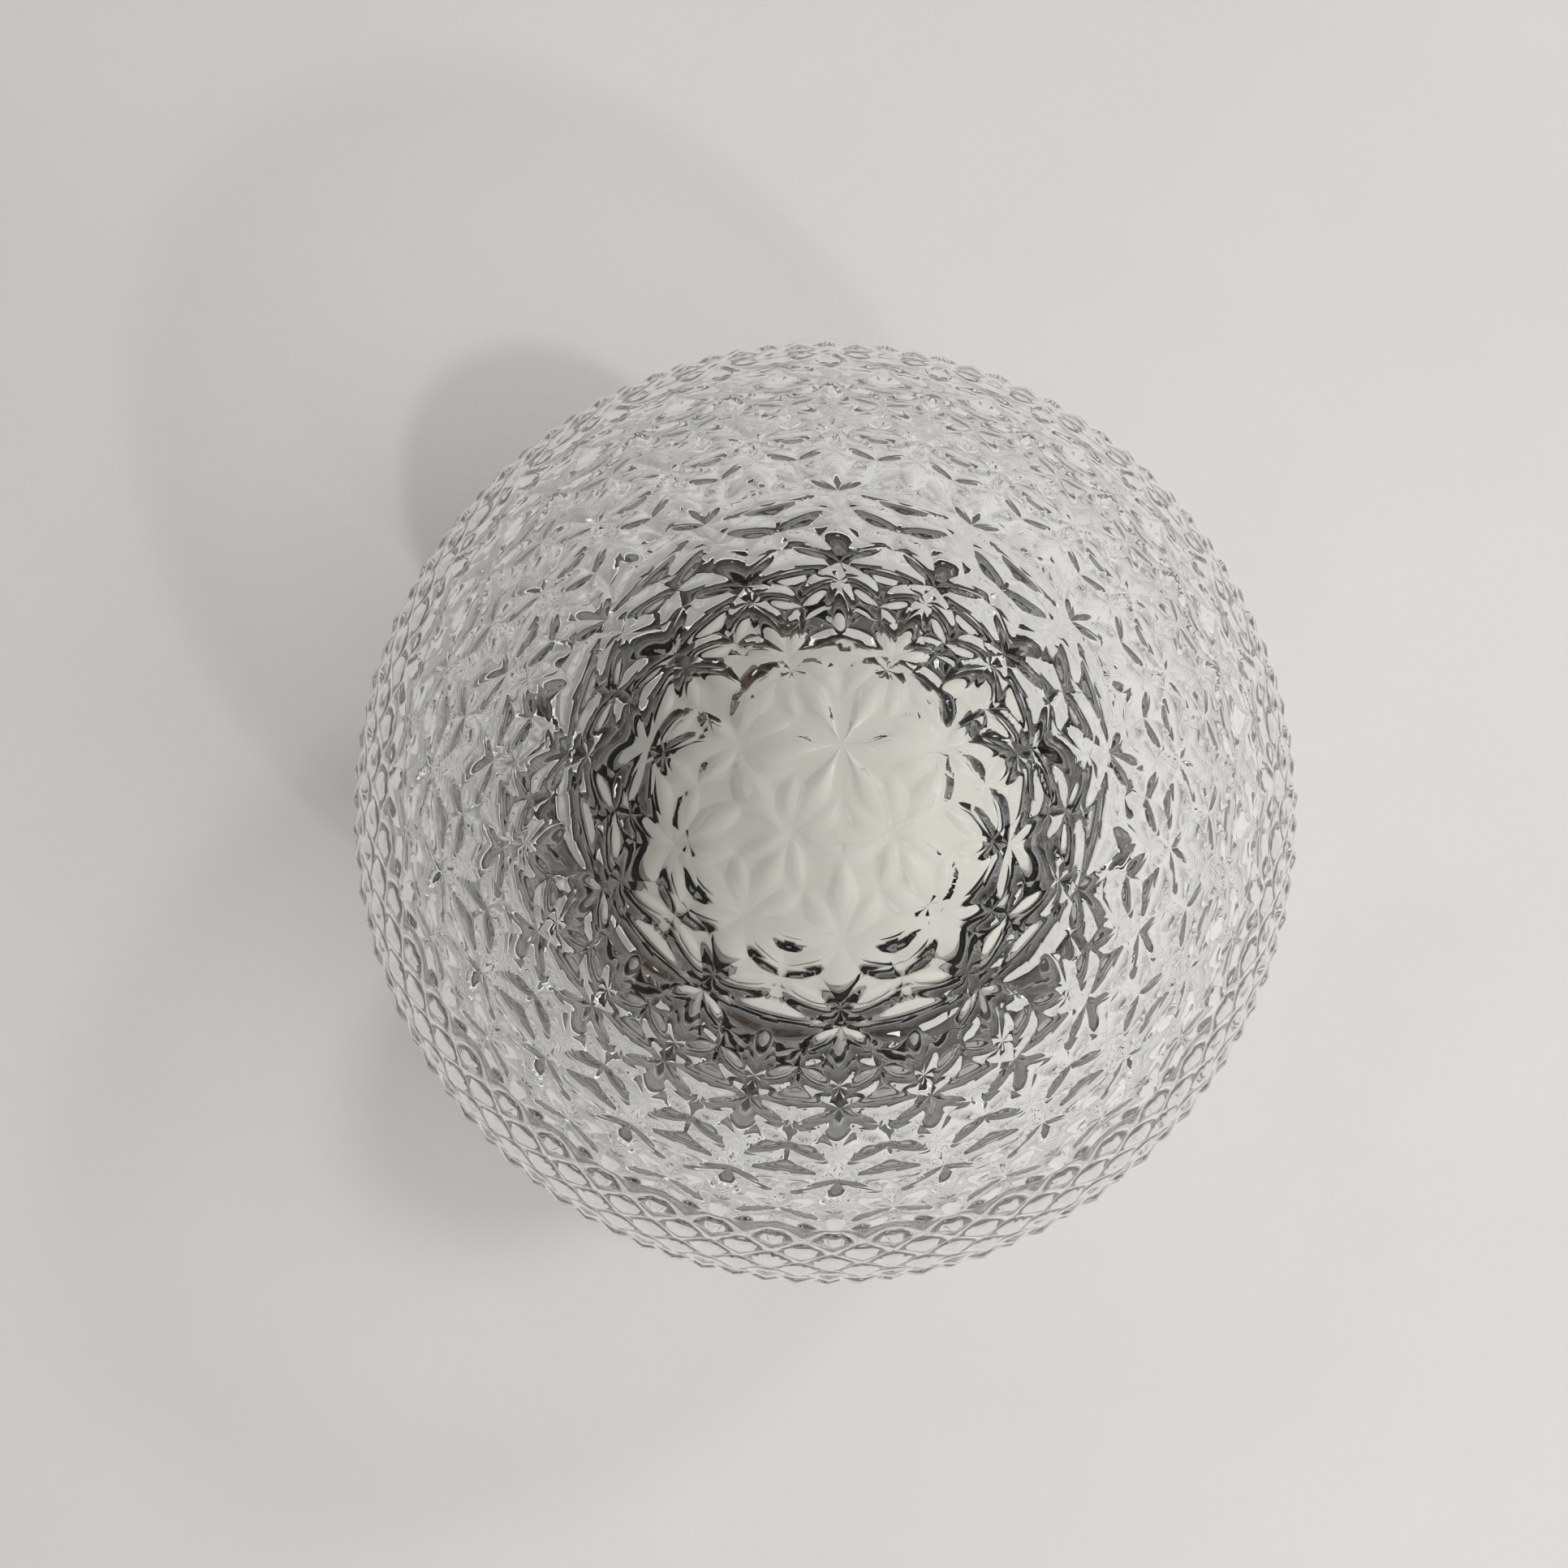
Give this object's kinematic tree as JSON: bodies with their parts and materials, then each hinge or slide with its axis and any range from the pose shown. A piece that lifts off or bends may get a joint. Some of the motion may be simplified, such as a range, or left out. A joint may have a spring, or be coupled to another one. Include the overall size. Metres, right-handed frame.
{
  "type": "globe ceiling light",
  "caption": "Flush-mount ceiling or wall light: clear pressed-glass globe with a star relief on a round mirror-bright base, with a screw lampholder and an opal bulb.",
  "frame": {"origin": "centre of the mounting face, on the surface that the light is fixed to", "axes": "+Z away from the mounting surface through the globe's pole, +Y along the mounting strap and its slots, +X across it towards the terminal block"},
  "size_m": [0.15, 0.15, 0.1535],
  "materials": {
    "clear_glass": "clear pressed glass, fire polished",
    "black_rubber": "matt",
    "chrome": "mirror polished",
    "grey_foam": "matt closed-cell foam",
    "polished_aluminium": "polished",
    "zinc": "zinc plated, satin",
    "porcelain": "glazed",
    "brass": "satin",
    "spring_steel": "bright drawn wire",
    "solder": "dull solder",
    "black_glass": "gloss",
    "nickel": "nickel plated",
    "white_plastic": "satin",
    "opal_plastic": "opal, satin",
    "board_white": "white solder mask",
    "led_yellow": "phosphor",
    "driver_green": "circuit board",
    "nylon": "natural nylon",
    "wire_blue": "PVC sleeve",
    "wire_brown": "PVC sleeve",
    "wire_green": "PVC sleeve, green and yellow"
  },
  "bodies": {
    "base": {"base_housing": "chrome", "mounting_gasket": "grey_foam", "glass_collar": "chrome", "collar_rivets": "chrome", "reflector_dish": "polished_aluminium", "reflector_screws": "zinc", "mounting_bracket": "zinc", "side_screws": "chrome", "cable_grommet": "black_rubber", "lampholder_bridge": "zinc", "lampholder_body": "porcelain", "lampholder_screws": "zinc", "lampholder_shell": "brass", "contact_spring": "spring_steel", "side_contact": "brass", "holder_terminals": "brass", "terminal_block": "nylon", "terminal_inserts": "brass", "terminal_screws": "zinc", "block_screw": "zinc", "wire_neutral": "wire_blue", "wire_live": "wire_brown", "wire_earth": "wire_green", "earth_washer": "zinc", "earth_screw": "zinc"},
    "neck_ring": {"neck_seal": "black_rubber"},
    "globe": {"glass_globe": "clear_glass"},
    "bulb": {"bulb_tip": "solder", "bulb_insulator": "black_glass", "bulb_cap": "nickel", "bulb_body": "white_plastic", "bulb_diffuser": "opal_plastic", "led_board": "board_white", "led_chips": "led_yellow", "led_driver": "driver_green"},
    "contact": {"centre_contact": "brass"}
  },
  "joints": [
    {"name": "globe_lift", "type": "slide", "parent": "base", "child": "neck_ring", "axis": [0, 0, 1], "range_m": [0, 0.12]},
    {"name": "globe_turn", "type": "hinge", "parent": "neck_ring", "child": "globe", "pos_m": [0, 0, 0.03], "axis": [0, 0, 1], "range_deg": [0, 450]},
    {"name": "bulb_lift", "type": "slide", "parent": "base", "child": "bulb", "axis": [0, 0, 1], "range_m": [0, 0.028]},
    {"name": "contact_press", "type": "slide", "parent": "base", "child": "contact", "axis": [0, 0, -1], "range_m": [0, 0.001], "stiffness_N_per_m": 1500, "deforming": ["contact_spring"]}
  ]
}
